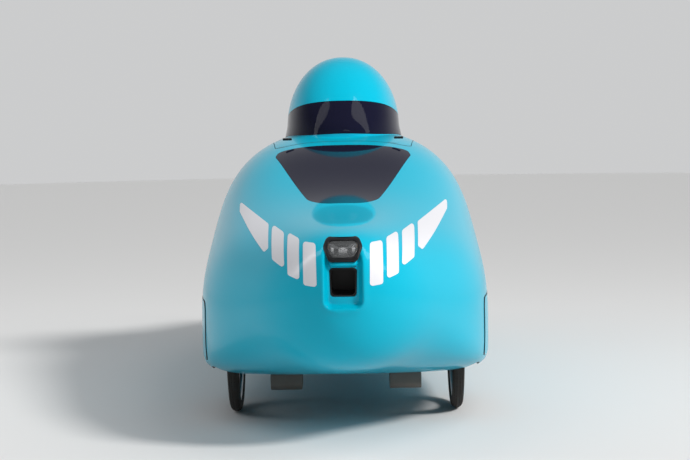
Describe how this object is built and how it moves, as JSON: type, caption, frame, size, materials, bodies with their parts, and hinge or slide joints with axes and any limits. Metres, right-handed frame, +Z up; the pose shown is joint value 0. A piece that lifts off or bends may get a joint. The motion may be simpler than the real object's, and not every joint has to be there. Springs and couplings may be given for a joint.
{
  "type": "velomobile",
  "caption": "Closed three-wheeled pedal vehicle with a streamlined shell, lifting entry lid with head hood, steered front wheels and a driven rear wheel.",
  "frame": {"origin": "on the ground below the middle of the body, in the symmetry plane", "axes": "+Z up, -Y towards the nose, +X towards the vehicle's left"},
  "size_m": [0.7854, 2.6, 0.9586],
  "materials": {
    "paint": "glossy turquoise gel coat",
    "glazing": "dark tinted glazing",
    "lens": "clear lens",
    "red_lens": "red lens",
    "black": "black",
    "carbon": "clear-coated woven laminate",
    "grey": "bare laminate",
    "alloy": "satin",
    "steel": "satin",
    "rubber": "black rubber",
    "foam": "black mesh fabric"
  },
  "bodies": {
    "chassis": {"lower_shell": "paint", "upper_shell": "paint", "wheel_cover_left": "paint", "wheel_cover_right": "paint", "deck_window": "glazing", "headlamp_bezel": "black", "headlamp_lens": "lens", "air_inlet_duct": "black", "tail_lamp": "red_lens", "hood_hinge_left": "black", "hood_hinge_right": "black", "wheel_box_left": "carbon", "wheel_box_right": "carbon", "rear_wheel_box": "carbon", "cross_beam": "carbon", "lower_arm_left": "steel", "lower_arm_right": "steel", "strut_left": "black", "strut_right": "black", "swing_arm": "alloy", "rear_shock": "steel", "crank_mast": "alloy", "chain": "steel", "seat": "carbon", "seat_pad": "foam", "head_rest": "foam", "heel_fairing_left": "grey", "heel_fairing_right": "grey"},
    "hood": {"hood_shell": "paint", "visor": "glazing"},
    "knuckle_left": {"knuckle_left": "alloy"},
    "knuckle_right": {"knuckle_right": "alloy"},
    "tie_rod_left": {"tie_rod_left": "steel"},
    "tie_rod_right": {"tie_rod_right": "steel"},
    "tiller": {"tiller": "black"},
    "front_wheel_left": {"front_rim_left": "alloy", "front_tyre_left": "rubber"},
    "front_wheel_right": {"front_rim_right": "alloy", "front_tyre_right": "rubber"},
    "rear_wheel": {"rear_rim": "alloy", "rear_tyre": "rubber"},
    "crankset": {"crankset": "alloy"},
    "pedal_left": {"pedal_left": "black"},
    "pedal_right": {"pedal_right": "black"}
  },
  "joints": [
    {"name": "steer_left", "type": "hinge", "parent": "chassis", "child": "knuckle_left", "pos_m": [0.245, -0.54, 0.23387], "axis": [0, 0, 1], "range_deg": [-8, 8]},
    {"name": "steer_right", "type": "hinge", "parent": "chassis", "child": "knuckle_right", "pos_m": [-0.245, -0.54, 0.23387], "axis": [0, 0, 1], "range_deg": [-8, 8]},
    {"name": "tiller_turn", "type": "hinge", "parent": "chassis", "child": "tiller", "pos_m": [0, -0.54, 0.1665], "axis": [0, 0, 1], "range_deg": [-8, 8]},
    {"name": "tie_rod_left_turn", "type": "hinge", "parent": "knuckle_left", "child": "tie_rod_left", "pos_m": [0.245, -0.46, 0.178], "axis": [0, 0, 1], "range_deg": [-8, 8]},
    {"name": "tie_rod_right_turn", "type": "hinge", "parent": "knuckle_right", "child": "tie_rod_right", "pos_m": [-0.245, -0.46, 0.178], "axis": [0, 0, 1], "range_deg": [-8, 8]},
    {"name": "wheel_front_left_spin", "type": "hinge", "parent": "knuckle_left", "child": "front_wheel_left", "pos_m": [0.3, -0.54, 0.23387], "axis": [1, 0, 0], "continuous": true},
    {"name": "wheel_front_right_spin", "type": "hinge", "parent": "knuckle_right", "child": "front_wheel_right", "pos_m": [-0.3, -0.54, 0.23387], "axis": [1, 0, 0], "continuous": true},
    {"name": "wheel_rear_spin", "type": "hinge", "parent": "chassis", "child": "rear_wheel", "pos_m": [0, 0.73, 0.30851], "axis": [1, 0, 0], "continuous": true},
    {"name": "crank_turn", "type": "hinge", "parent": "chassis", "child": "crankset", "pos_m": [0, -0.93, 0.345], "axis": [1, 0, 0], "continuous": true},
    {"name": "pedal_left_turn", "type": "hinge", "parent": "crankset", "child": "pedal_left", "pos_m": [0.109, -0.78, 0.345], "axis": [1, 0, 0], "continuous": true},
    {"name": "pedal_right_turn", "type": "hinge", "parent": "crankset", "child": "pedal_right", "pos_m": [-0.109, -1.08, 0.345], "axis": [1, 0, 0], "continuous": true},
    {"name": "hood_open", "type": "hinge", "parent": "chassis", "child": "hood", "pos_m": [0, 0.01, 0.71842], "axis": [1, 0, 0], "range_deg": [0, 80]}
  ],
  "couplings": [
    {"joint": "steer_right", "follows": "steer_left", "ratio": 1},
    {"joint": "tiller_turn", "follows": "steer_left", "ratio": 1},
    {"joint": "tie_rod_left_turn", "follows": "steer_left", "ratio": -1},
    {"joint": "tie_rod_right_turn", "follows": "steer_left", "ratio": -1}
  ]
}
